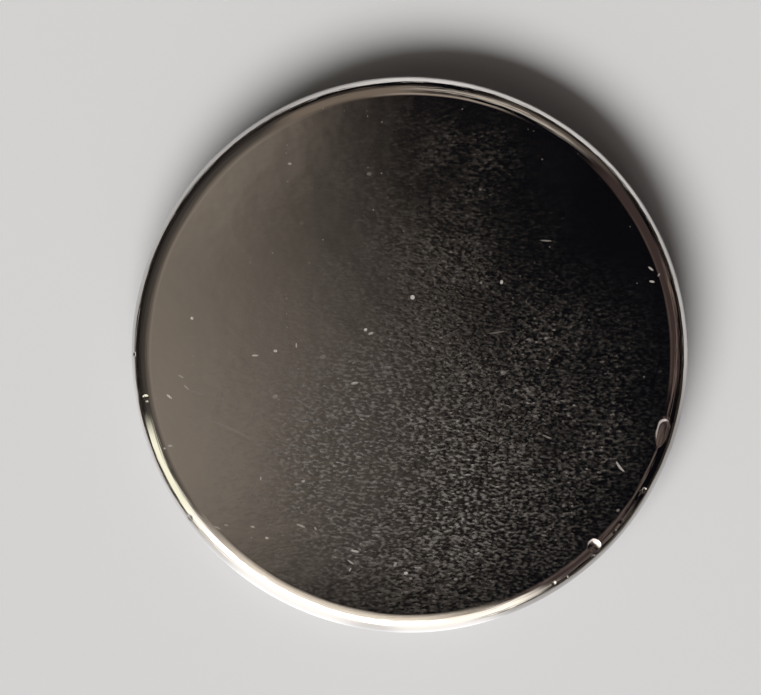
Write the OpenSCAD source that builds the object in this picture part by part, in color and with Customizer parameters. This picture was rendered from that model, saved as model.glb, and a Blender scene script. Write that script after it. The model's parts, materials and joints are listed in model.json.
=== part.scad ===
// Nickel-plated disc magnet, lying flat on one pole face.
// Millimetres, +Z along the disc's axis, origin at the centre of the lower pole face.

/* [Disc] */
// Outside diameter of the disc
disc_d = 20; // [8:0.5:60]
// Thickness from pole face to pole face
disc_h = 2; // [1:0.1:20]
// Radius of the rounding between each pole face and the wall
edge_r = 0.75; // [0.2:0.05:0.9]

/* [Long nick] */
// Depth, square to the rounding
long_nick_depth = 0.05; // [0.02:0.005:0.08]
// Radius of the ball that leaves it: the larger the ball, the longer the nick
long_nick_ball_r = 3; // [1:0.25:4]

/* [Round nick] */
// Depth, square to the rounding
round_nick_depth = 0.09; // [0.04:0.005:0.12]
// Radius of the ball that leaves it
round_nick_ball_r = 0.45; // [0.3:0.05:0.8]

/* [Small nicks] */
// Depth of each, square to the rounding
small_nick_depth = 0.025; // [0.01:0.005:0.04]
// Radius of the ball that leaves each
small_nick_ball_r = 0.5; // [0.3:0.05:0.8]

/* [Hidden] */
$fn = 180;
nickel_colour = [0.72, 0.69, 0.64];

disc_r = disc_d / 2;

// A disc too thin for its rounding keeps this share of its thickness as a straight wall.
least_wall_share = 0.1;
corner_r = min(edge_r, disc_h * (1 - least_wall_share) / 2);
flat_r = disc_r - corner_r;

// Every nick lies on the upper rounding. Its place is its angle round the rim from +X, then
// the slope of the rounding there: 0 where it leaves the face, 90 where it meets the wall.
long_nick_places = [[344, 17]];
round_nick_places = [[315, 20]];
small_nick_places = [[180, 57], [189, 38], [217, 45], [302, 33], [330, 38]];

// Half of the disc's section, to the right of the axis: a core as high as the disc, the
// wall between the two roundings, and a round corner at each end of the wall.
module half_section() {
    square([flat_r, disc_h]);
    translate([0, corner_r])
        square([disc_r, disc_h - 2 * corner_r]);
    for (corner_z = [corner_r, disc_h - corner_r])
        translate([flat_r, corner_z])
            circle(r = corner_r);
}

// Balls sunk by depth into the upper rounding, square to its surface at each place.
module nicks(places, ball_r, depth) {
    for (place = places)
        rotate([0, 0, place[0]])
            translate([flat_r, 0, disc_h - corner_r])
                rotate([0, place[1], 0])
                    translate([0, 0, corner_r + ball_r - depth])
                        sphere(r = ball_r);
}

module disc_magnet() {
    color(nickel_colour)
        difference() {
            rotate_extrude()
                half_section();
            nicks(long_nick_places, long_nick_ball_r, long_nick_depth);
            nicks(round_nick_places, round_nick_ball_r, round_nick_depth);
            nicks(small_nick_places, small_nick_ball_r, small_nick_depth);
        }
}

disc_magnet();
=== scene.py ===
"""Looks of a nickel-plated disc magnet: its worn, mirror-bright plating, and the plain studio that
the plating mirrors. Metres throughout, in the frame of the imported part: +Z along the disc's axis,
the lower pole face on the floor at z = 0."""

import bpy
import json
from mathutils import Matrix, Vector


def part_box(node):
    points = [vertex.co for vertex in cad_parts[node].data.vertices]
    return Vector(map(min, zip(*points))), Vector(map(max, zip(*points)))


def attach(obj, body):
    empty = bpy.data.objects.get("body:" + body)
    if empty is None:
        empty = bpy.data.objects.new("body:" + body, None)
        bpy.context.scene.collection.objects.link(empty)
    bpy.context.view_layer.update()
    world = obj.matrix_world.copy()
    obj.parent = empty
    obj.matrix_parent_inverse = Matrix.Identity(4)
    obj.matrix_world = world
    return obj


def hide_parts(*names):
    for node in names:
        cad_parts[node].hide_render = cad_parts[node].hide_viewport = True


bl_info = {
    "name": "Disc Magnet",
    "version": (1, 0, 0),
    "blender": (4, 5, 0),
    "location": "3D Viewport > Sidebar > Magnet",
    "description": "Builds a nickel-plated disc magnet and the plain studio it is shown in",
    "category": "Add Mesh",
}

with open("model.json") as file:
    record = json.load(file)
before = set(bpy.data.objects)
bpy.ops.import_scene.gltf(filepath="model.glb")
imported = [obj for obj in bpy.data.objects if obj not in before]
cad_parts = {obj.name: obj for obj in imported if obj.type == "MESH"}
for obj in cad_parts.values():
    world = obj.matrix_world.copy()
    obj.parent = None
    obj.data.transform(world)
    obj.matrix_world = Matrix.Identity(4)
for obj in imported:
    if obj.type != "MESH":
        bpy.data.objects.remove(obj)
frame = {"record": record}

import json
import math
from collections import namedtuple

import bpy
import numpy as np
from mathutils import Vector

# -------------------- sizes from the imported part

MM = 0.001
CAD_NODE = "disc_magnet"
CAD_LOW, CAD_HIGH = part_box(CAD_NODE)
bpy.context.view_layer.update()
MOUNTS = {mount["name"]: mount for mount in frame["record"]["mounts"]}
DISC_R = MOUNTS["rim"]["dims"]["r_mm"] * MM
DISC_H = CAD_HIGH[2] - CAD_LOW[2]
EDGE_R = (DISC_H - MOUNTS["rim"]["dims"]["length_mm"] * MM) / 2

# -------------------- wear on the plating

# A nick on the upper rounding: degrees round the rim from +X, slope of the rounding there (0 at
# the face, 90 at the wall), size along and across the rim, depth, how much deeper and wider it is
# at its anticlockwise end, and height of the lip pushed up round it. Lengths in millimetres.
Nick = namedtuple("Nick", "name turn slope along across depth lean lip")
NICKS = (
    Nick("long_dent", 342.6, 18, 1.10, 0.48, 0.046, 0.55, 0.006),
    Nick("round_dent", 313.9, 19, 0.50, 0.52, 0.085, 0.10, 0.004),
    Nick("dent_pip", 329.8, 37, 0.26, 0.22, 0.040, 0.20, 0.004),
    Nick("pip_tail", 328.4, 27, 0.46, 0.09, 0.014, 0.50, 0.002),
    Nick("left_pip", 189.1, 24, 0.16, 0.26, 0.016, 0.30, 0.002),
    Nick("left_pip_tail", 190.5, 22, 0.20, 0.14, 0.006, 0.00, 0.001),
    Nick("left_dot", 180.0, 54, 0.18, 0.16, 0.022, 0.00, 0.002),
    Nick("lower_left_flat", 216.6, 47, 0.26, 0.30, 0.016, 0.00, 0.002),
    Nick("lower_right_dot", 302.2, 33, 0.18, 0.14, 0.022, 0.00, 0.003),
    Nick("lower_right_speck", 305.2, 42, 0.14, 0.12, 0.016, 0.00, 0.002),
    Nick("lower_right_chip", 312.3, 43, 0.18, 0.13, 0.022, 0.00, 0.003),
    Nick("right_speck", 321.8, 31, 0.22, 0.14, 0.018, 0.00, 0.002),
    Nick("right_speck_low", 319.2, 35, 0.20, 0.14, 0.018, 0.00, 0.002),
)

# A mark on the upper face: centre, length, width, direction in degrees from +X, curvature, and
# how strong it is, where 1 is full. Lengths in millimetres. DUST holds what lies on the plating,
# dust and pale scuffs, and SCRATCHES what is cut into it.
Mark = namedtuple("Mark", "name x y length width turn bend cover")
DUST = (
    Mark("lint", 7.50, -4.03, 0.50, 0.09, -52, 0.6, 0.40),
    Mark("dust_centre", 0.10, 2.04, 0.16, 0.16, 0, 0, 0.80),
    Mark("dust_mid_left", -1.58, 0.88, 0.13, 0.12, 20, 0, 0.60),
    Mark("dust_far_left", -7.78, 1.29, 0.12, 0.12, 0, 0, 0.60),
    Mark("dust_left", -4.80, 0.12, 0.14, 0.11, 0, 0, 0.55),
    Mark("dust_left_low", -5.53, -0.04, 0.26, 0.08, 0, 0, 0.40),
    Mark("dust_mid_tail", -1.39, 0.75, 0.22, 0.11, 20, 0, 0.30),
    Mark("dash_mid_low", -1.97, -1.03, 0.28, 0.10, 10, 0, 0.42),
    Mark("fleck_mid", -4.05, 0.32, 0.18, 0.06, 90, 0, 0.40),
    Mark("dot_mid_low", -4.80, -1.50, 0.22, 0.14, 20, 0, 0.18),
    Mark("dust_right", 3.28, 2.58, 0.16, 0.11, 80, 0, 0.55),
    Mark("dash_bottom", -1.96, -7.03, 0.34, 0.08, -12, 0, 0.50),
    Mark("dust_bottom", -0.13, -7.81, 0.14, 0.11, 0, 0, 0.60),
    Mark("dash_rim_right", 8.61, 3.06, 0.24, 0.08, -38, 0, 0.45),
    Mark("dash_rim_right_low", 8.65, 2.60, 0.20, 0.08, -10, 0, 0.55),
    Mark("dash_rim_right_side", 8.90, 2.84, 0.14, 0.07, 60, 0, 0.35),
    Mark("chip_left", -8.59, -1.51, 0.26, 0.08, -40, 0, 0.60),
    Mark("dot_left_low", -8.56, -3.27, 0.18, 0.10, 0, 0, 0.35),
    Mark("dot_left_lower", -8.76, -3.36, 0.10, 0.08, 0, 0, 0.30),
    Mark("dash_upper_right", 4.87, 4.06, 0.42, 0.06, -3, 0, 0.22),
    Mark("chip_lower_left", -6.87, -6.19, 0.28, 0.06, -26, 0, 0.25),
    Mark("dot_lower_left", -6.56, -6.10, 0.16, 0.06, -10, 0, 0.25),
    Mark("dot_low_left", -5.61, -6.16, 0.17, 0.08, -10, 0, 0.35),
    Mark("dot_low_left_inner", -5.10, -6.56, 0.14, 0.09, -15, 0, 0.45),
    Mark("line_low_left", -3.89, -6.12, 0.36, 0.08, -22, 0, 0.35),
    Mark("fleck_low_left", -5.32, -4.43, 0.16, 0.06, 90, 0, 0.35),
    Mark("dot_low_mid", -3.81, -4.54, 0.14, 0.09, 0, 0, 0.35),
    Mark("fleck_low_mid", -3.37, -6.22, 0.14, 0.07, -60, 0, 0.35),
    Mark("squiggle_bottom", -2.11, -7.42, 0.30, 0.07, -35, 0, 0.35),
    Mark("squiggle_bottom_low", -2.13, -7.69, 0.16, 0.06, 60, 0, 0.35),
    Mark("dot_bottom_right", -0.52, -7.50, 0.18, 0.11, 60, 0, 0.30),
    Mark("scuff_left_top", -8.17, -0.79, 0.24, 0.06, -28, 0, 0.28),
    Mark("scuff_left", -7.98, -1.18, 0.26, 0.06, -42, 0, 0.30),
    Mark("scuff_left_tail", -7.60, -1.37, 0.50, 0.06, -18, 0, 0.05),
    Mark("arc_left", -6.30, -2.70, 1.90, 0.08, -25, -0.05, 0.06),
    Mark("dot_upper_left", -4.29, 6.81, 0.15, 0.10, 0, 0, 0.28),
    Mark("dot_face_edge_right", 7.44, -5.57, 0.13, 0.10, 20, 0, 0.22),
)
SCRATCHES = (
    Mark("dash_low", 0.30, -7.62, 0.32, 0.07, -4, 0, 0.9),
    Mark("line_right", 3.10, 0.78, 0.60, 0.06, 8, 0, 0.6),
    Mark("line_lower_right", 4.90, -2.95, 0.40, 0.06, -24, 0, 0.7),
    Mark("line_middle", 1.15, -3.75, 0.30, 0.07, -30, 0, 0.9),
)

# Where the upper face is worn by small marks: centre of each patch, how far it reaches in full and
# before it ends, in millimetres, how much wear it adds, and how much paler it makes the marks. The
# least wear lies all over the face.
Wear = namedtuple("Wear", "name x y full end marks pale")
WEAR = (
    Wear("lower_right", 1.6, -5.2, 4.5, 11.5, 0.80, 0.03),
    Wear("top", 1.7, 6.2, 1.0, 4.8, 0.45, 0.0),
    Wear("middle_low", -0.9, -3.9, 2.0, 5.5, 0.0, 0.11),
    Wear("right_low", 3.1, -5.7, 1.0, 3.5, 0.0, 0.08),
)
LEAST_WEAR = 0.15


# -------------------- the disc's surface

# Rings of points: shares of the flat radius on the upper and the lower face, and how many go over
# each rounding.
UPPER_FACE_RINGS = (0.08, 0.35, 0.65, 0.85, 0.95, 0.985, 0.997)
LOWER_FACE_RINGS = (0.99, 0.9, 0.5, 0.1)
UPPER_ROUNDING_RINGS = 37
LOWER_ROUNDING_RINGS = 15


def smooth_step(value, low, high):
    """0 below low, 1 above high, and 3s^2 - 2s^3 of the share s of the way between."""
    share = np.clip((value - low) / (high - low), 0.0, 1.0)
    return share * share * (3.0 - 2.0 * share)


def spaced_turns(count):
    """Angles round the rim, closer together where there is a nick: the integral of a density
    that is 1 plus a bell over each nick is cut into equal shares."""
    bell_height = 2.2
    fine = np.linspace(0.0, 2.0 * np.pi, 7201)
    density = np.ones_like(fine)
    for nick in NICKS:
        away = np.abs((fine - math.radians(nick.turn) + np.pi) % (2.0 * np.pi) - np.pi)
        reach = nick.along * MM / DISC_R
        density += bell_height * np.exp(-((away / reach) ** 2))
    total = np.concatenate(([0.0], np.cumsum((density[1:] + density[:-1]) / 2.0)))
    return np.interp(np.arange(count) / count * total[-1], total, fine)


def edge_radius(turns, waviness):
    """Radius of the rounding at each angle: its nominal value times 1 plus a sum of slow
    cosines, which is what tumbling leaves."""
    swell = (
        0.45 * np.cos(turns - 0.9)
        + 0.35 * np.cos(3.0 * turns + 0.4)
        + 0.30 * np.cos(7.0 * turns + 2.1)
        + 0.22 * np.cos(13.0 * turns - 1.3)
        + 0.12 * np.cos(29.0 * turns + 0.7)
    )
    return EDGE_R * (1.0 + waviness * swell)


def nick_depth(turns, slopes):
    """Depth of all the nicks, and how torn the plating is, at each angle and slope of the upper
    rounding. A nick is a bowl: depth times 1 - a^2 - b^2 inside the ellipse where a, b are the
    distances along and across the rim over its half sizes, its edge rounded, less a bell-shaped
    lip on the edge itself. Its lean scales the depth and width up towards one end, and blunts
    that end with a higher power of a. The plating is torn along the edge, more so on the side
    of the face and at the end the nick leans to."""
    floor_softness = 0.012
    lip_width = 0.35
    tear_width = 0.36
    tearing_depth = 0.05
    depth = np.zeros(np.broadcast(turns, slopes).shape)
    torn = np.zeros_like(depth)
    for nick in NICKS:
        away = (turns - math.radians(nick.turn) + np.pi) % (2.0 * np.pi) - np.pi
        along = away * (DISC_R - EDGE_R * 0.5) / (nick.along * MM / 2.0)
        across = (slopes - math.radians(nick.slope)) * EDGE_R / (nick.across * MM / 2.0)
        grown = 1.0 + nick.lean * np.clip(along, -1.2, 1.2)
        blunt = np.where(along > 0.0, np.abs(along) ** (2.0 + 2.0 * nick.lean), along**2)
        inside = 1.0 - blunt - (across / np.sqrt(np.maximum(grown, 0.1))) ** 2
        bowl = (inside + np.sqrt(inside**2 + floor_softness)) / 2.0
        bowl *= smooth_step(inside, -1.2, -0.2)
        depth += nick.depth * MM * bowl * grown
        depth -= nick.lip * MM * np.exp(-((inside / lip_width) ** 2))
        damage = min(nick.depth / tearing_depth, 1.0)
        side = smooth_step(0.5 * along - 0.8 * across, -0.4, 0.8)
        torn = np.maximum(torn, 0.30 * damage * smooth_step(inside, -0.1, 0.3))
        torn = np.maximum(torn, damage * side * np.exp(-(((inside - 0.22) / tear_width) ** 2)))
    return depth, torn


def disc_rings(turns, waviness):
    """The disc as rings from the middle of the upper face, over its rounding, down the wall,
    under the lower rounding and in to the middle of the lower face. Each ring is a function of
    the angle: r = R - e + e sin(s), z = H - e + e cos(s) on the upper rounding, with e the
    rounding's radius at that angle and s its slope, sunk square to the surface by the nicks."""
    edge = edge_radius(turns, waviness)
    flat = DISC_R - edge
    level = np.zeros_like(turns)
    rings = []
    for share in UPPER_FACE_RINGS:
        rings.append((flat * share, level + DISC_H, level))
    for slope in np.linspace(0.0, np.pi / 2.0, UPPER_ROUNDING_RINGS):
        sink, torn = nick_depth(turns, slope)
        reach = edge - sink
        out, up = reach * np.sin(slope), reach * np.cos(slope)
        rings.append((flat + out, np.minimum(DISC_H - edge + up, DISC_H), torn))
    rings.append((level + DISC_R, level + DISC_H / 2.0, level))
    for slope in np.linspace(np.pi / 2.0, np.pi, LOWER_ROUNDING_RINGS):
        rings.append((flat + edge * np.sin(slope), edge + edge * np.cos(slope), level))
    for share in LOWER_FACE_RINGS:
        rings.append((flat * share, level, level))
    return [np.array(column) for column in zip(*rings)]


def ring_mesh(name, turns, radii, heights, torn):
    """Closes rings of points into one mesh: quads between neighbouring rings, the last column
    joined to the first, and a fan of triangles to a pole at each end. Torn, a number at each
    point, is kept as an attribute."""
    rows, columns = radii.shape
    points = np.stack((radii * np.cos(turns), radii * np.sin(turns), heights), axis=-1)
    poles = np.array([[0.0, 0.0, heights[0].mean()], [0.0, 0.0, heights[-1].mean()]])
    vertices = np.concatenate((points.reshape(-1, 3), poles))
    column = np.arange(columns)
    after = (column + 1) % columns
    start = np.arange(rows - 1)[:, None] * columns
    quads = np.stack(
        (start + column, start + columns + column, start + columns + after, start + after), axis=-1
    ).reshape(-1, 4)
    top_pole = rows * columns
    last = (rows - 1) * columns
    top = np.stack((np.full(columns, top_pole), column, after), axis=-1)
    bottom = np.stack((np.full(columns, top_pole + 1), last + after, last + column), axis=-1)
    fans = np.concatenate((top, bottom))
    loops = np.concatenate((quads.ravel(), fans.ravel())).astype(np.int32)
    sizes = np.concatenate((np.full(len(quads), 4), np.full(len(fans), 3)))
    starts = np.concatenate(([0], np.cumsum(sizes)[:-1])).astype(np.int32)
    mesh = bpy.data.meshes.new(name)
    mesh.vertices.add(len(vertices))
    mesh.vertices.foreach_set("co", vertices.ravel().astype(np.float32))
    mesh.loops.add(len(loops))
    mesh.loops.foreach_set("vertex_index", loops)
    mesh.polygons.add(len(sizes))
    mesh.polygons.foreach_set("loop_start", starts)
    mesh.update(calc_edges=True)
    mesh.validate()
    worn = mesh.attributes.new("torn_plating", "FLOAT", "POINT")
    worn.data.foreach_set("value", np.append(torn.ravel(), (0.0, 0.0)).astype(np.float32))
    mesh.shade_smooth()
    return mesh


# -------------------- node trees


class Sheet:
    """One node tree being filled in, so that a formula reads from top to bottom."""

    def __init__(self, tree):
        self.tree = tree
        tree.nodes.clear()

    def feed(self, socket, value):
        """Joins a socket to another one, or sets it to a plain value."""
        if isinstance(value, bpy.types.NodeSocket):
            self.tree.links.new(value, socket)
        else:
            socket.default_value = value

    def node(self, kind, inputs=None, **settings):
        """Adds a node, with its inputs by name and its settings."""
        made = self.tree.nodes.new(kind)
        for name, value in settings.items():
            setattr(made, name, value)
        for name, value in (inputs or {}).items():
            self.feed(made.inputs[name], value)
        return made

    def math(self, operation, *values, clamp=False):
        """The result of one sum on plain numbers."""
        made = self.node("ShaderNodeMath", operation=operation, use_clamp=clamp)
        for socket, value in zip(made.inputs, values):
            self.feed(socket, value)
        return made.outputs[0]

    def vector(self, operation, *values):
        """The result of one sum on vectors."""
        made = self.node("ShaderNodeVectorMath", operation=operation)
        sockets = made.inputs
        if operation == "SCALE":
            sockets = (made.inputs["Vector"], made.inputs["Scale"])
        for socket, value in zip(sockets, values):
            self.feed(socket, value)
        return made.outputs["Value" if operation in ("LENGTH", "DOT_PRODUCT") else "Vector"]

    def times(self, first, *others):
        """The product of all the values."""
        for other in others:
            first = self.math("MULTIPLY", first, other)
        return first

    def line(self, value, gain, base):
        """Gain times value, plus base."""
        return self.math("MULTIPLY_ADD", value, gain, base)

    def combine(self, x=0.0, y=0.0, z=0.0):
        """A vector from its parts."""
        return self.node("ShaderNodeCombineXYZ", {"X": x, "Y": y, "Z": z}).outputs[0]

    def flat(self, vector):
        """The vector without its Z part."""
        return self.vector("MULTIPLY", vector, (1.0, 1.0, 0.0))

    def turned_back(self, vector, angle):
        """The vector turned about Z by minus the angle."""
        inputs = {"Vector": vector, "Angle": angle}
        made = self.node("ShaderNodeVectorRotate", inputs, rotation_type="Z_AXIS", invert=True)
        return made.outputs[0]

    def bump(self, height, distance, normal=None):
        """The normal tilted by a height of so many metres for each 1 of its value."""
        inputs = {"Height": height, "Strength": 1.0, "Distance": distance}
        if normal is not None:
            inputs["Normal"] = normal
        return self.node("ShaderNodeBump", inputs).outputs[0]

    def step(self, value, low, high):
        """0 to 1 as value goes smoothly from low to high."""
        inputs = {"Value": value, "From Min": low, "From Max": high}
        made = self.node("ShaderNodeMapRange", inputs, interpolation_type="SMOOTHSTEP")
        return made.outputs["Result"]

    def fall(self, value, low, high):
        """1 to 0 as value goes smoothly from low to high."""
        inputs = {"Value": value, "From Min": low, "From Max": high, "To Min": 1.0, "To Max": 0.0}
        made = self.node("ShaderNodeMapRange", inputs, interpolation_type="SMOOTHSTEP")
        return made.outputs["Result"]

    def mix(self, share, first, second):
        """A colour from first, at share 0, to second, at share 1. The node has sockets of the same
        names for other kinds of value, so these are told apart by number."""
        made = self.node("ShaderNodeMix", data_type="RGBA")
        self.feed(made.inputs[0], share)
        self.feed(made.inputs[6], first)
        self.feed(made.inputs[7], second)
        return made.outputs[2]

    def noise(self, vector, scale, detail=2.0, roughness=0.5):
        """A smooth random number from 0 to 1, with about scale waves to each 1 of the vector."""
        inputs = {"Vector": vector, "Scale": scale, "Detail": detail, "Roughness": roughness}
        return self.node("ShaderNodeTexNoise", inputs).outputs["Fac"]


def rgba(colour):
    """A colour with nothing see-through."""
    return (*colour, 1.0)


def new_group(name, inputs, outputs):
    """An empty node group with named sockets. inputs are (name, kind, default), outputs
    (name, kind). Returns the sheet to fill in, its inputs by name, and its output node."""
    tree = bpy.data.node_groups.new(name, "ShaderNodeTree")
    sheet = Sheet(tree)
    for label, kind, default in inputs:
        socket = tree.interface.new_socket(label, in_out="INPUT", socket_type=kind)
        if default is not None:
            socket.default_value = default
    for label, kind in outputs:
        tree.interface.new_socket(label, in_out="OUTPUT", socket_type=kind)
    given = sheet.node("NodeGroupInput")
    given_by_name = {label: given.outputs[label] for label, _kind, _default in inputs}
    return sheet, given_by_name, sheet.node("NodeGroupOutput")


NUMBER, VECTOR = "NodeSocketFloat", "NodeSocketVector"

# Length along Z, in metres, of a spot that is drawn in the XY plane only.
ANY_DEPTH = 1e6


def speck_group():
    """One soft-edged elliptical spot in the XY plane: 1 where the turned offset from Centre,
    over half the length and half the width, is shorter than 1. Bend curves it: y - Bend x^2."""
    inputs = (
        ("Vector", VECTOR, None),
        ("Centre", VECTOR, None),
        ("Turn", NUMBER, 0.0),
        ("Length", NUMBER, 1.0),
        ("Width", NUMBER, 1.0),
        ("Bend", NUMBER, 0.0),
        ("Cover", NUMBER, 1.0),
    )
    sheet, given, out = new_group("Speck", inputs, (("Mask", NUMBER),))
    offset = sheet.vector("SUBTRACT", given["Vector"], given["Centre"])
    turned = sheet.turned_back(offset, given["Turn"])
    axes = sheet.node("ShaderNodeSeparateXYZ", {"Vector": turned})
    squared = sheet.math("POWER", sheet.math("ABSOLUTE", axes.outputs["X"]), 2.0)
    sag = sheet.combine(y=sheet.times(squared, given["Bend"]))
    straight = sheet.vector("SUBTRACT", turned, sag)
    size = sheet.combine(given["Length"], given["Width"], ANY_DEPTH)
    share = sheet.vector("DIVIDE", straight, size)
    distance = sheet.times(sheet.vector("LENGTH", share), 2.0)
    mask = sheet.fall(distance, 0.65, 1.15)
    sheet.feed(out.inputs["Mask"], sheet.times(mask, given["Cover"]))
    return sheet.tree


def dashes_group():
    """Short fine marks lying one way: a noise squeezed across them and stretched along them,
    kept where it rises over a threshold."""
    inputs = (
        ("Vector", VECTOR, None),
        ("Length", NUMBER, 1.0),
        ("Width", NUMBER, 1.0),
        ("Turn", NUMBER, 0.0),
        ("Shift", VECTOR, None),
        ("Threshold", NUMBER, 0.6),
        ("Softness", NUMBER, 0.1),
    )
    sheet, given, out = new_group("Fine Dashes", inputs, (("Mask", NUMBER),))
    moved = sheet.vector("ADD", given["Vector"], given["Shift"])
    turned = sheet.turned_back(moved, given["Turn"])
    size = sheet.combine(given["Length"], given["Width"], given["Width"])
    cells = sheet.vector("DIVIDE", turned, size)
    height = sheet.noise(cells, 1.0, detail=0.8, roughness=0.5)
    top = sheet.math("ADD", given["Threshold"], given["Softness"])
    sheet.feed(out.inputs["Mask"], sheet.step(height, given["Threshold"], top))
    return sheet.tree


def dust_group():
    """Grains scattered one to a cell: a dot where the distance to the cell's point is under
    Grain times a random number from 0.35 to 1.35, in the cells where another random number,
    from 0 to 1, is below Share."""
    inputs = (
        ("Vector", VECTOR, None),
        ("Spacing", NUMBER, 1.0),
        ("Grain", NUMBER, 0.1),
        ("Share", NUMBER, 0.2),
    )
    sheet, given, out = new_group("Dust", inputs, (("Mask", NUMBER),))
    scale = sheet.math("DIVIDE", 1.0, given["Spacing"])
    grid = {"Vector": given["Vector"], "Scale": scale}
    cells = sheet.node("ShaderNodeTexVoronoi", grid, feature="F1")
    luck = sheet.node("ShaderNodeSeparateColor", {"Color": cells.outputs["Color"]})
    chosen = sheet.math("LESS_THAN", luck.outputs[0], given["Share"])
    grain = sheet.math("DIVIDE", given["Grain"], given["Spacing"])
    radius = sheet.times(grain, sheet.math("ADD", luck.outputs[1], 0.35))
    dot = sheet.fall(cells.outputs["Distance"], sheet.times(radius, 0.55), radius)
    sheet.feed(out.inputs["Mask"], sheet.times(dot, chosen))
    return sheet.tree


def place_group(sheet, tree, inputs):
    """Places a node group in a sheet and returns its first output."""
    made = sheet.node("ShaderNodeGroup", node_tree=tree)
    for name, value in inputs.items():
        sheet.feed(made.inputs[name], value)
    return made.outputs[0]


# -------------------- nickel plating

# A layer of fine marks that lie one way: length and width of a mark in millimetres, direction in
# degrees, how far the pattern is moved in metres, where in its noise a mark starts and how softly,
# and how much the layer counts in the marks' dullness and in their depth.
Layer = namedtuple("Layer", "name length width turn shift threshold softness dullness depth")
MARK_LAYERS = (
    Layer("soft", 0.27, 0.130, 2.0, (0.02, 0.01, 0.0), 0.36, 0.32, 0.32, 0.35),
    Layer("fine", 0.17, 0.090, -6.0, (0.05, 0.03, 0.0), 0.42, 0.30, 0.30, 0.25),
    Layer("bright", 0.23, 0.105, 5.0, (0.01, 0.07, 0.0), 0.58, 0.20, 0.45, 0.50),
)

# Colours that the nickel turns towards, and the share of the way it goes to two of them. The warm
# tint multiplies it.
WARM_TINT = (1.0, 0.985, 0.95)
MARKED_METAL, MARKED_SHARE = (0.66, 0.66, 0.69), 0.8
DULL_METAL = (0.20, 0.19, 0.18)
TORN_METAL = (0.62, 0.53, 0.51)
SHADED_METAL, SHADED_SHARE = (0.05, 0.05, 0.05), 0.7

# How much rougher than the polish the plating is where each of these is full.
SMUDGE_ROUGHNESS, SCORED_ROUGHNESS, WALL_ROUGHNESS = 0.03, 0.40, 0.12
TORN_ROUGHNESS, DEBRIS_ROUGHNESS = 0.30, 0.65

# How dull the gaps between the fine marks are, for each 1 that the marks are paler.
GAP_DULLNESS = 3.2

# Height in metres that 1 stands for in each pattern that tilts the mirror.
MARKS_HEIGHT = 0.0062 * MM
RIPPLE_HEIGHT = 0.0024 * MM
STREAKS_HEIGHT = 0.011 * MM

# Waves to the metre of each noise on the plating. The streaks' own noise is drawn out round the
# disc: it runs on a circle of so many waves' radius, and has one wave to so many metres down.
TINT_SCALE, PATCHES_SCALE, RIPPLE_SCALE, GRAIN_SCALE = 150.0, 420.0, 900.0, 9000.0
STREAKS_CIRCLE, STREAKS_SPACING = 5.0, 0.13 * MM


def place_marks(sheet, place, marks, mask):
    """Adds a list of marks to a mask, the larger value of the two at each point."""
    speck = bpy.data.node_groups.get("Speck") or speck_group()
    for mark in marks:
        inputs = {
            "Vector": place,
            "Centre": (mark.x * MM, mark.y * MM, 0.0),
            "Turn": math.radians(mark.turn),
            "Length": mark.length * MM,
            "Width": mark.width * MM,
            "Bend": mark.bend / MM,
            "Cover": mark.cover,
        }
        mask = sheet.math("MAXIMUM", place_group(sheet, speck, inputs), mask)
    return mask


def wear_masks(sheet, place, radius):
    """How thick the fine marks lie and how pale they are: a sum of the patches of wear. The first
    is also uneven from place to place, less near the rounding, and nothing on it."""
    worn, paler = LEAST_WEAR, 0.0
    for each in WEAR:
        offset = sheet.vector("SUBTRACT", place, (each.x * MM, each.y * MM, 0.0))
        away = sheet.vector("LENGTH", sheet.flat(offset))
        patch = sheet.fall(away, each.full * MM, each.end * MM)
        worn = sheet.line(patch, each.marks, worn)
        paler = sheet.line(patch, each.pale, paler)
    patches = sheet.noise(place, PATCHES_SCALE, detail=2.0)
    uneven = sheet.line(sheet.step(patches, 0.35, 0.65), 0.55, 0.5)
    inward = sheet.line(sheet.step(radius, 7.2 * MM, 9.2 * MM), -0.4, 1.0)
    on_faces = sheet.fall(radius, DISC_R - EDGE_R * 1.2, DISC_R - EDGE_R * 0.8)
    return sheet.times(worn, uneven, inward, on_faces), paler


def layer_masks(sheet, place):
    """The mask of each layer of fine marks, by name."""
    dashes = dashes_group()
    masks = {}
    for layer in MARK_LAYERS:
        inputs = {
            "Vector": place,
            "Length": layer.length * MM,
            "Width": layer.width * MM,
            "Turn": math.radians(layer.turn),
            "Shift": layer.shift,
            "Threshold": layer.threshold,
            "Softness": layer.softness,
        }
        masks[layer.name] = place_group(sheet, dashes, inputs)
    return masks


def layer_sum(sheet, masks, weights):
    """The layers' masks added up, each times its weight."""
    total = 0.0
    for mask, weight in zip(masks.values(), weights):
        total = sheet.line(mask, weight, total)
    return total


def debris_mask(sheet, place, masks, worn, paler):
    """How much of the upper face is covered: by scattered grains, by what has settled in the fine
    marks, and by the specks and scuffs of DUST. The largest of them counts."""
    dust = dust_group()
    stretched = sheet.vector("MULTIPLY", place, (0.75, 1.0, 1.0))
    coarse = {"Vector": stretched, "Spacing": 0.60 * MM, "Grain": 0.075 * MM, "Share": 0.20}
    fine = {"Vector": place, "Spacing": 0.26 * MM, "Grain": 0.030 * MM, "Share": 0.28}
    grains = sheet.times(place_group(sheet, dust, coarse), sheet.times(worn, 0.27))
    fine_grains = sheet.times(place_group(sheet, dust, fine), 0.16)
    flecks = sheet.times(sheet.line(masks["fine"], 0.6, sheet.times(masks["bright"], 0.4)), paler)
    debris = sheet.math("MAXIMUM", sheet.math("MAXIMUM", grains, fine_grains), flecks)
    return place_marks(sheet, place, DUST, debris)


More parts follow.
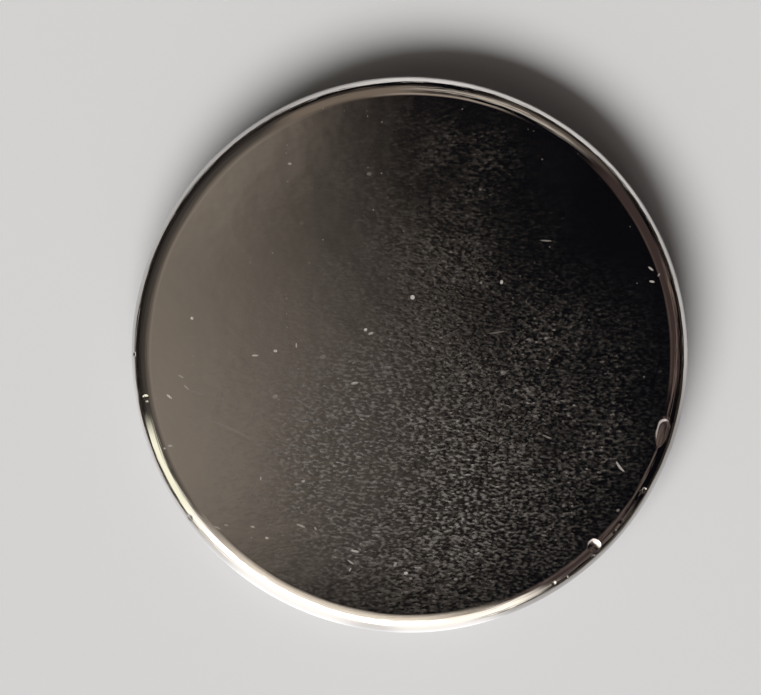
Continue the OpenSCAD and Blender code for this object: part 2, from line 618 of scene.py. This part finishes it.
def metal_colour(sheet, settings, place, marks, gaps, bare):
    """Nickel, a little warmer here and there, greyer on the fine marks, duller in the gaps between
    them and reddish where the plating is torn. Dark as the floor's light bounces off it, so that
    the disc throws no bright patches round itself."""
    warm = [channel * share for channel, share in zip(settings.nickel_colour, WARM_TINT)]
    tint = sheet.noise(place, TINT_SCALE, detail=1.0)
    metal = sheet.mix(tint, rgba(settings.nickel_colour), rgba(warm))
    marked = sheet.math("MULTIPLY", marks, MARKED_SHARE, clamp=True)
    metal = sheet.mix(marked, metal, rgba(MARKED_METAL))
    metal = sheet.mix(gaps, metal, rgba(DULL_METAL))
    metal = sheet.mix(bare, metal, rgba(TORN_METAL))
    bounced = sheet.node("ShaderNodeLightPath").outputs["Is Diffuse Ray"]
    return sheet.mix(sheet.times(bounced, SHADED_SHARE), metal, rgba(SHADED_METAL))


def plating_relief(sheet, axes, masks, worn, scored):
    """Height of the fine marks and scratches, below 0. It is shallower at the left, near the lower
    edge and high up on the face."""
    relief = sheet.times(layer_sum(sheet, masks, [layer.depth for layer in MARK_LAYERS]), worn)
    to_right = sheet.line(sheet.step(axes["X"], -2.5 * MM, 3.0 * MM), 0.85, 0.15)
    low_down = sheet.line(sheet.step(axes["Y"], -9.0 * MM, -5.0 * MM), 0.45, 0.55)
    high_up = sheet.line(sheet.fall(axes["Y"], 2.0 * MM, 6.0 * MM), 0.5, 0.5)
    relief = sheet.times(relief, to_right, sheet.times(low_down, high_up), -1.0)
    return sheet.line(scored, -0.2, relief)


def edge_streaks(sheet, place, radius, height, torn):
    """Height of the fine streaks that run round the disc on its rounding and wall: a noise drawn
    out round the axis, stronger and grainy where the plating is torn."""
    around = sheet.vector("NORMALIZE", sheet.flat(place))
    around = sheet.vector("SCALE", around, STREAKS_CIRCLE)
    down = sheet.math("DIVIDE", sheet.math("SUBTRACT", radius, height), STREAKS_SPACING)
    course = sheet.vector("ADD", around, sheet.combine(z=down))
    streaks = sheet.math("SUBTRACT", sheet.noise(course, 1.0, detail=2.0, roughness=0.6), 0.5)
    on_edge = sheet.step(radius, DISC_R - EDGE_R * 0.98, DISC_R - EDGE_R * 0.65)
    streaks = sheet.times(streaks, on_edge, sheet.line(torn, 2.5, 1.0))
    grain = sheet.noise(place, GRAIN_SCALE, detail=2.0, roughness=0.6)
    return sheet.line(sheet.times(grain, torn), 0.5, streaks)


def nickel_material(settings):
    """Polished nickel plating over a lapped face: a mirror with a slow ripple, broken up by fine
    marks that are rougher than the polish and slightly sunk. Scratches, dust and scuffs lie on
    the upper face, fine streaks run round the rounding, and its nicks are torn at their edges."""
    material = bpy.data.materials.new("nickel_plating")
    material.use_nodes = True
    sheet = Sheet(material.node_tree)
    place = sheet.node("ShaderNodeTexCoord").outputs["Object"]
    axes = sheet.node("ShaderNodeSeparateXYZ", {"Vector": place}).outputs
    radius = sheet.vector("LENGTH", sheet.flat(place))
    on_top = sheet.step(axes["Z"], DISC_H * 0.98, DISC_H * 0.995)
    torn = sheet.node("ShaderNodeAttribute", attribute_name="torn_plating").outputs["Fac"]

    worn, paler = wear_masks(sheet, place, radius)
    masks = layer_masks(sheet, place)
    marks = layer_sum(sheet, masks, [layer.dullness for layer in MARK_LAYERS])
    marks = sheet.math("MULTIPLY", marks, worn, clamp=True)
    debris = sheet.times(debris_mask(sheet, place, masks, worn, paler), on_top)
    scored = sheet.times(place_marks(sheet, place, SCRATCHES, 0.0), on_top)
    gaps = sheet.math("SUBTRACT", 1.0, masks["fine"])
    gaps = sheet.times(gaps, sheet.times(paler, GAP_DULLNESS))
    gaps = sheet.math("MULTIPLY", gaps, on_top, clamp=True)
    bare = sheet.step(torn, 0.35, 0.85)

    metal = metal_colour(sheet, settings, place, marks, gaps, bare)
    colour = sheet.mix(debris, metal, rgba(settings.dust_colour))
    not_metal = sheet.math("MAXIMUM", debris, sheet.times(bare, 0.6))

    smudge = sheet.noise(place, PATCHES_SCALE, detail=3.0, roughness=0.6)
    on_wall = sheet.fall(axes["Z"], DISC_H - EDGE_R * 1.15, DISC_H - EDGE_R * 0.7)
    rough = sheet.line(smudge, SMUDGE_ROUGHNESS, settings.polish_roughness - SMUDGE_ROUGHNESS / 2.0)
    rough = sheet.line(marks, settings.mark_roughness, rough)
    rough = sheet.line(scored, SCORED_ROUGHNESS, rough)
    rough = sheet.line(on_wall, WALL_ROUGHNESS, rough)
    rough = sheet.line(torn, TORN_ROUGHNESS, rough)
    rough = sheet.math("MULTIPLY_ADD", debris, DEBRIS_ROUGHNESS, rough, clamp=True)

    ripple = sheet.noise(place, RIPPLE_SCALE, detail=2.0, roughness=0.45)
    normal = sheet.bump(plating_relief(sheet, axes, masks, worn, scored), MARKS_HEIGHT)
    normal = sheet.bump(ripple, RIPPLE_HEIGHT, normal)
    normal = sheet.bump(edge_streaks(sheet, place, radius, axes["Z"], torn), STREAKS_HEIGHT, normal)

    inputs = {
        "Base Color": colour,
        "Metallic": sheet.math("SUBTRACT", 1.0, not_metal),
        "Roughness": rough,
        "Normal": normal,
    }
    shader = sheet.node("ShaderNodeBsdfPrincipled", inputs)
    sheet.node("ShaderNodeOutputMaterial", {"Surface": shader.outputs[0]})
    return material


# -------------------- studio

# A soft-edged patch of the studio's walls, as seen from the disc: compass turn and height of its
# middle, half its width and half its height, how far its sides and its top fade, all in degrees,
# how many degrees it climbs for each degree anticlockwise, and how brightly it is lit. Later
# cards cover earlier ones. The low pale ceiling is no card of its own colour: it moves the edge
# of the pale ceiling. The window pane is only seen mirrored, as the window lamp lights the rest.
Card = namedtuple("Card", "name turn height half_width half_height side_fade top_fade climb light")
CARDS = (
    Card("low far wall", 54, 22, 17, 11, 8, 8, 0, (0.135, 0.115, 0.102)),
    Card("brown wall", 18, 47, 26, 27, 6, 5, 0, (0.058, 0.042, 0.041)),
    Card("brown wall low right", 302, 43, 19, 23, 8, 6, 0, (0.058, 0.042, 0.042)),
    Card("picture rail", 12, 67, 18, 4, 6, 4, 0, (0.090, 0.070, 0.066)),
    Card("upper rail", 324, 52, 26, 5, 6, 4, -0.2, (0.145, 0.116, 0.112)),
    Card("brown rail", 5, 33, 17, 6, 5, 4, -0.85, (0.180, 0.140, 0.132)),
    Card("low rail", 312, 18, 14, 6, 5, 5, 0, (0.18, 0.155, 0.15)),
    Card("low lamp", 296, 18, 6, 8, 4, 5, 0, (0.50, 0.47, 0.46)),
    Card("far wall", 103, 52, 16, 24, 5, 14, 0, (0.225, 0.19, 0.165)),
    Card("far lamp shade", 69, 42, 19, 8, 6, 5, 0, (0.60, 0.56, 0.53)),
    Card("far shelf", 80, 72, 13, 5, 5, 4, 0, (0.42, 0.37, 0.34)),
    Card("glow round the window", 254, 25, 28, 46, 12, 13, 0, (1.10, 1.03, 0.95)),
    Card("wall under the window", 254, 6, 43, 36, 5, 12, 0, (1.75, 1.73, 1.68)),
    Card("side window", 206, 20, 10, 22, 3, 9, 0, (1.40, 1.44, 1.24)),
)
PALE_CEILING = Card("low pale ceiling", 128, 73, 22, 13, 10, 0.9, 0, None)
WINDOW_PANE = Card("window pane", 250, 28, 22, 8, 8, 6, 0, (13.0, 12.9, 12.7))

# Painted reflection: edges past which the plating alone sees the floor painted dark, like a small
# table top's edges: the compass turn each edge faces, and its distance from the disc's axis in
# millimetres. Then how far an edge fades inwards and outwards.
REFLECTION_DARK_EDGES = ((330, 13.8), (15, 15.5), (155, 15.5), (190, 14.2))
FADE_INWARDS, FADE_OUTWARDS = 0.8, 1.6

# Painted reflection with painted light and shade: how pale the plating alone sees the table top, a
# share of the table's colour all round, and patches of painted light and shade by side of the disc.
# A patch has the compass turn it lies at, how far it reaches to each side in full and before it
# ends, in degrees, and what it adds to the share.
PAINTED_REFLECTION_SHARE = 1.33
PaintedLightPatch = namedtuple("PaintedLightPatch", "name turn full end gain")
PAINTED_LIGHT_PATCHES = (
    PaintedLightPatch("upper left", 140, 30, 50, -0.4),
    PaintedLightPatch("top", 95, 10, 25, 0.2),
    PaintedLightPatch("right", 5, 15, 35, -0.25),
    PaintedLightPatch("lower right", 322, 18, 40, -0.5),
    PaintedLightPatch("lower left", 244, 8, 17, 0.7),
    PaintedLightPatch("bottom", 278, 6, 14, 0.6),
)
# Painted light on the side towards the window, in the plating's reflections alone. The painted
# dark edges leave this side out.
LIT_PATCH = PaintedLightPatch("under the window", 255, 26, 36, 0.25)

# Light of the walls by direction: the dark ceiling, and the pale one.
DARK_CEILING_LIGHT = (0.0034, 0.0036, 0.0058)
PALE_CEILING_LIGHT = (0.29, 0.26, 0.235)

# Painted reflection: the dark colour that the plating alone sees on the floor past those edges.
PAINTED_DARK_PAST_EDGES = (0.03, 0.025, 0.02)


# Inputs of the card group that a card's own fields fill, in the order of the fields.
CARD_INPUTS = ("Card Turn", "Card Height")
CARD_INPUTS += ("Half Width", "Half Height", "Side Fade", "Top Fade", "Climb")


def card_group():
    """How much of a card a direction meets: a smooth fall past half its width sideways, times
    one past half its height up and down."""
    inputs = [(name, NUMBER, 0.0) for name in ("Turn", "Height", *CARD_INPUTS)]
    sheet, given, out = new_group("Card", inputs, (("Mask", NUMBER),))
    turned = sheet.math("SUBTRACT", given["Turn"], given["Card Turn"])
    turned = sheet.math("WRAP", turned, 180.0, -180.0)
    aside = sheet.math("ABSOLUTE", turned)
    middle = sheet.line(turned, given["Climb"], given["Card Height"])
    above = sheet.math("ABSOLUTE", sheet.math("SUBTRACT", given["Height"], middle))
    masks = []
    sides = ((aside, "Half Width", "Side Fade"), (above, "Half Height", "Top Fade"))
    for away, half, fade in sides:
        low = sheet.math("SUBTRACT", given[half], given[fade])
        high = sheet.math("ADD", given[half], given[fade])
        masks.append(sheet.fall(away, low, high))
    sheet.feed(out.inputs["Mask"], sheet.times(*masks))
    return sheet.tree


def place_card(sheet, card, turn, height, each):
    """Places one card in the world and returns its mask."""
    fields = each[1 : 1 + len(CARD_INPUTS)]
    inputs = {"Turn": turn, "Height": height, **dict(zip(CARD_INPUTS, fields))}
    return place_group(sheet, card, inputs)


def pale_ceiling(sheet, card, turn, height, x, y, z):
    """How much of the pale ceiling a direction meets. Its edge lies where 0.965 x/z + 0.45 y/z is
    about 0, bent by 0.011 b + 0.20 b^4, with b ten times y/z, kept between -0.85 and 0. The low
    pale ceiling moves that edge. The light grows with the power 1.4 of the height, is dimmer near
    the floor and at its full strength only overhead."""
    lift = sheet.math("MAXIMUM", z, 0.02)
    across = sheet.math("DIVIDE", x, lift)
    up = sheet.math("DIVIDE", y, lift)
    below = sheet.math("MAXIMUM", up, -0.085)
    below = sheet.times(sheet.math("MINIMUM", below, 0.0), 10.0)
    bend = sheet.line(sheet.math("POWER", below, 4.0), 0.20, sheet.times(below, 0.011))
    towards_dark = sheet.line(across, 0.965, sheet.line(up, 0.45, bend))
    moved = place_card(sheet, card, turn, height, PALE_CEILING)
    pale = sheet.fall(sheet.line(moved, -0.06, towards_dark), -0.11, 0.052)
    climb = sheet.math("MAXIMUM", sheet.line(height, 1.0 / 90.0, 0.055), 0.0)
    climb = sheet.line(sheet.math("POWER", climb, 1.4), 0.95, 0.05)
    overhead = sheet.line(sheet.step(height, 54.0, 87.0), 0.48, 0.52)
    above_floor = sheet.line(sheet.step(height, -5.0, 20.0), 0.7, 0.3)
    return sheet.math("MULTIPLY", pale, sheet.times(climb, overhead, above_floor), clamp=True)


def studio_world(settings):
    """The studio's walls as light by direction: a pale ceiling on the left and a dark one on the
    right, with the cards in front. The camera sees a plain backdrop instead, and the floor gets
    only a share of this light."""
    world = bpy.data.worlds.new("studio")
    world.use_nodes = True
    sheet = Sheet(world.node_tree)
    ray = sheet.node("ShaderNodeTexCoord").outputs["Generated"]
    x, y, z = sheet.node("ShaderNodeSeparateXYZ", {"Vector": ray}).outputs
    turn = sheet.math("DEGREES", sheet.math("ARCTAN2", y, x))
    height = sheet.math("DEGREES", sheet.math("ARCSINE", z))
    card = card_group()
    pale = pale_ceiling(sheet, card, turn, height, x, y, z)
    light = sheet.mix(pale, rgba(DARK_CEILING_LIGHT), rgba(PALE_CEILING_LIGHT))
    for each in CARDS:
        light = sheet.mix(place_card(sheet, card, turn, height, each), light, rgba(each.light))
    path = sheet.node("ShaderNodeLightPath").outputs
    pane = sheet.times(place_card(sheet, card, turn, height, WINDOW_PANE), path["Is Glossy Ray"])
    light = sheet.mix(pane, light, rgba(WINDOW_PANE.light))
    shown = sheet.mix(path["Is Camera Ray"], light, rgba(settings.backdrop_colour))
    strength = sheet.line(path["Is Diffuse Ray"], settings.wall_light - 1.0, 1.0)
    background = sheet.node("ShaderNodeBackground", {"Color": shown, "Strength": strength})
    sheet.node("ShaderNodeOutputWorld", {"Surface": background.outputs[0]})
    return world


def facing(turn):
    """Unit vector along the floor at a compass turn in degrees."""
    return (math.cos(math.radians(turn)), math.sin(math.radians(turn)), 0.0)


def place_patch(sheet, outward, patch):
    """How much of a patch lies on each side of the disc, by the cosine of the angle from the
    patch's own turn."""
    aligned = sheet.vector("DOT_PRODUCT", outward, facing(patch.turn))
    end, full = (math.cos(math.radians(angle)) for angle in (patch.end, patch.full))
    return sheet.step(aligned, end, full)


def floor_material(settings):
    """A plain pale table top. The plating alone mirrors it as a painted reflection of a small
    table's
    top, with painted light and shade: dark past its edges, paler on some sides of the disc and
    darker on others."""
    material = bpy.data.materials.new("table_top")
    material.use_nodes = True
    sheet = Sheet(material.node_tree)
    place = sheet.node("ShaderNodeTexCoord").outputs["Object"]
    past_edges = 0.0
    for turn, reach in REFLECTION_DARK_EDGES:
        distance = sheet.vector("DOT_PRODUCT", place, facing(turn))
        past = sheet.step(distance, (reach - FADE_INWARDS) * MM, (reach + FADE_OUTWARDS) * MM)
        past_edges = sheet.math("MAXIMUM", past, past_edges)
    outward = sheet.vector("NORMALIZE", sheet.flat(place))
    share = PAINTED_REFLECTION_SHARE
    for patch in PAINTED_LIGHT_PATCHES:
        share = sheet.line(place_patch(sheet, outward, patch), patch.gain, share)
    lit = place_patch(sheet, outward, LIT_PATCH)
    share = sheet.line(lit, LIT_PATCH.gain, share)
    # Painted reflection: for glossy rays alone the floor is painted a cool tint, times a share of
    # painted light and shade by side of the disc, and dark past the edges away from the window.
    mirrored = sheet.node("ShaderNodeLightPath").outputs["Is Glossy Ray"]
    dark = sheet.times(past_edges, sheet.math("SUBTRACT", 1.0, lit), mirrored)
    cool = [channel * tint for channel, tint in zip(settings.floor_colour, (0.96, 1.0, 1.08))]
    near = sheet.mix(mirrored, rgba(settings.floor_colour), sheet.vector("SCALE", cool, share))
    colour = sheet.mix(dark, near, rgba(PAINTED_DARK_PAST_EDGES))
    shader = sheet.node("ShaderNodeBsdfPrincipled", {"Base Color": colour})
    shader.inputs["Roughness"].default_value = 0.9
    shader.inputs["Specular IOR Level"].default_value = 0.1
    sheet.node("ShaderNodeOutputMaterial", {"Surface": shader.outputs[0]})
    return material


def direction(turn, height):
    """Unit vector at a compass turn from +X and a height above the floor, in radians."""
    return np.array(
        [math.cos(height) * math.cos(turn), math.cos(height) * math.sin(turn), math.sin(height)]
    )


def aim(thing, target):
    """Turns a lamp or camera so that it looks from where it is to target, +Y uppermost."""
    look = Vector(target) - thing.location
    thing.rotation_euler = look.to_track_quat("-Z", "Y").to_euler()


# -------------------- add-on


class MagnetSettings(bpy.types.PropertyGroup):
    """Sizes and finish of the magnet's plating."""

    columns: bpy.props.IntProperty(
        name="Columns", description="Points round the rim", default=1400, min=96, max=1600
    )
    waviness: bpy.props.FloatProperty(
        name="Edge Waviness",
        description="How much the rounding's radius varies round the rim, as a share of it",
        default=0.035, min=0.0, max=0.1, subtype="FACTOR",
    )
    nickel_colour: bpy.props.FloatVectorProperty(
        name="Nickel", description="Colour of the plating", subtype="COLOR",
        default=(0.68, 0.63, 0.57),
    )
    dust_colour: bpy.props.FloatVectorProperty(
        name="Dust", description="Colour of the dust on the upper face", subtype="COLOR",
        default=(0.50, 0.46, 0.44),
    )
    polish_roughness: bpy.props.FloatProperty(
        name="Polish", description="Roughness of the unmarked plating",
        default=0.065, min=0.02, max=0.5, subtype="FACTOR",
    )
    mark_roughness: bpy.props.FloatProperty(
        name="Mark Roughness", description="How much rougher the fine marks are than the polish",
        default=0.30, min=0.0, max=0.8, subtype="FACTOR",
    )


class StudioSettings(bpy.types.PropertyGroup):
    """Floor, light and camera of the plain studio."""

    floor_colour: bpy.props.FloatVectorProperty(
        name="Floor", description="Colour of the plain table top", subtype="COLOR",
        default=(0.655, 0.655, 0.66),
    )
    backdrop_colour: bpy.props.FloatVectorProperty(
        name="Backdrop", description="Colour seen past the floor's far edge", subtype="COLOR",
        default=(0.66, 0.66, 0.66),
    )
    window_turn: bpy.props.FloatProperty(
        name="Window Turn", description="Compass turn of the window from +X",
        default=math.radians(246.5), subtype="ANGLE", unit="ROTATION",
    )
    window_height: bpy.props.FloatProperty(
        name="Window Height", description="Height of the window's middle above the floor",
        default=math.radians(39.5), subtype="ANGLE", unit="ROTATION",
    )
    window_distance: bpy.props.FloatProperty(
        name="Window Distance", description="From the disc to the window",
        default=3.0, unit="LENGTH",
    )
    window_width: bpy.props.FloatProperty(
        name="Window Width", description="Width of the window", default=3.0, unit="LENGTH"
    )
    window_drop: bpy.props.FloatProperty(
        name="Window Size Upwards", description="Height of the window's opening", default=1.3,
        unit="LENGTH",
    )
    window_light: bpy.props.FloatProperty(
        name="Window Light", description="Brightness of the window's own surface, where 1 is white",
        default=12.7, min=0.0,
    )
    window_colour: bpy.props.FloatVectorProperty(
        name="Window Colour", description="Colour of the daylight", subtype="COLOR",
        default=(1.0, 0.995, 0.99),
    )
    wall_light: bpy.props.FloatProperty(
        name="Wall Light", description="How much of the walls' brightness reaches the floor",
        default=0.60, min=0.0, max=1.0, subtype="FACTOR",
    )
    camera_height: bpy.props.FloatProperty(
        name="Camera Height", description="From the floor to the lens",
        default=110.0 * MM, unit="LENGTH",
    )
    camera_x: bpy.props.FloatProperty(
        name="Camera X", description="Where the camera stands along X",
        default=-1.045 * MM, unit="LENGTH",
    )
    camera_y: bpy.props.FloatProperty(
        name="Camera Y", description="Where the camera stands along Y",
        default=0.245 * MM, unit="LENGTH",
    )
    picture_width: bpy.props.FloatProperty(
        name="Picture Width", description="Width of what the camera sees at the rim",
        default=27.37 * MM, unit="LENGTH",
    )


class MAGNET_OT_build_disc(bpy.types.Operator):
    """Build the disc magnet with its worn nickel plating"""

    bl_idname = "magnet.build_disc"
    bl_label = "Disc Magnet"

    def execute(self, context):
        settings = context.scene.magnet
        turns = spaced_turns(settings.columns)
        mesh = ring_mesh("plated_disc", turns, *disc_rings(turns, settings.waviness))
        piece = bpy.data.objects.new("plated_disc", mesh)
        context.scene.collection.objects.link(piece)
        mesh.materials.append(nickel_material(settings))
        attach(piece, "root")
        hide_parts(CAD_NODE)
        return {"FINISHED"}


class MAGNET_OT_build_studio(bpy.types.Operator):
    """Build the plain floor, the window light, the studio's walls and the camera"""

    bl_idname = "magnet.build_studio"
    bl_label = "Plain Studio"

    def execute(self, context):
        scene = context.scene
        settings = scene.magnet_studio
        scene.view_settings.view_transform = "Standard"
        scene.world = studio_world(settings)
        self.build_floor(scene, settings)
        self.build_window(scene, settings)
        self.build_camera(scene, settings)
        return {"FINISHED"}

    def build_floor(self, scene, settings):
        """A square of 12 m, a hair below the disc so that the two don't touch."""
        half = 6.0
        drop = -0.01 * MM
        signs = ((-1, -1), (1, -1), (1, 1), (-1, 1))
        corners = [(half * across, half * up, drop) for across, up in signs]
        mesh = bpy.data.meshes.new("floor")
        mesh.from_pydata(corners, [], [(0, 1, 2, 3)])
        mesh.materials.append(floor_material(settings))
        floor = bpy.data.objects.new("floor", mesh)
        scene.collection.objects.link(floor)

    def build_window(self, scene, settings):
        """A soft oval lamp where the window is. It is seen neither by the camera nor in the
        plating, which mirrors the window pane of the studio's walls."""
        light = bpy.data.lights.new("window", "AREA")
        light.shape = "ELLIPSE"
        light.size = settings.window_width
        light.size_y = settings.window_drop
        area = math.pi / 4.0 * settings.window_width * settings.window_drop
        light.energy = settings.window_light * math.pi * area
        light.color = settings.window_colour
        window = bpy.data.objects.new("window", light)
        towards = direction(settings.window_turn, settings.window_height)
        window.location = towards * settings.window_distance
        window.visible_camera = False
        window.visible_glossy = False
        scene.collection.objects.link(window)
        aim(window, (0.0, 0.0, 0.0))

    def build_camera(self, scene, settings):
        """A camera that looks straight down, with a picture as wide as asked for at the height
        where the rounding meets the wall."""
        data = bpy.data.cameras.new("camera")
        data.sensor_width = 36.0
        above_rim = settings.camera_height - (DISC_H - EDGE_R)
        data.lens = data.sensor_width * above_rim / settings.picture_width
        data.clip_start = 1.0 * MM
        camera = bpy.data.objects.new("camera", data)
        camera.location = (settings.camera_x, settings.camera_y, settings.camera_height)
        scene.collection.objects.link(camera)
        scene.camera = camera


class MAGNET_PT_panel(bpy.types.Panel):
    """The magnet's and the studio's settings"""

    bl_label = "Disc Magnet"
    bl_idname = "MAGNET_PT_panel"
    bl_space_type = "VIEW_3D"
    bl_region_type = "UI"
    bl_category = "Magnet"

    def draw(self, context):
        scene = context.scene
        groups = ((scene.magnet, "magnet.build_disc"), (scene.magnet_studio, "magnet.build_studio"))
        for settings, operator in groups:
            box = self.layout.box()
            for name in settings.__annotations__:
                box.prop(settings, name)
            box.operator(operator)


CLASSES = (
    MagnetSettings,
    StudioSettings,
    MAGNET_OT_build_disc,
    MAGNET_OT_build_studio,
    MAGNET_PT_panel,
)


def register():
    for each in CLASSES:
        bpy.utils.register_class(each)
    bpy.types.Scene.magnet = bpy.props.PointerProperty(type=MagnetSettings)
    bpy.types.Scene.magnet_studio = bpy.props.PointerProperty(type=StudioSettings)


def unregister():
    del bpy.types.Scene.magnet_studio
    del bpy.types.Scene.magnet
    for each in reversed(CLASSES):
        bpy.utils.unregister_class(each)


def main():
    register()
    bpy.ops.magnet.build_disc()
    bpy.ops.magnet.build_studio()


if __name__ == "__main__":
    main()
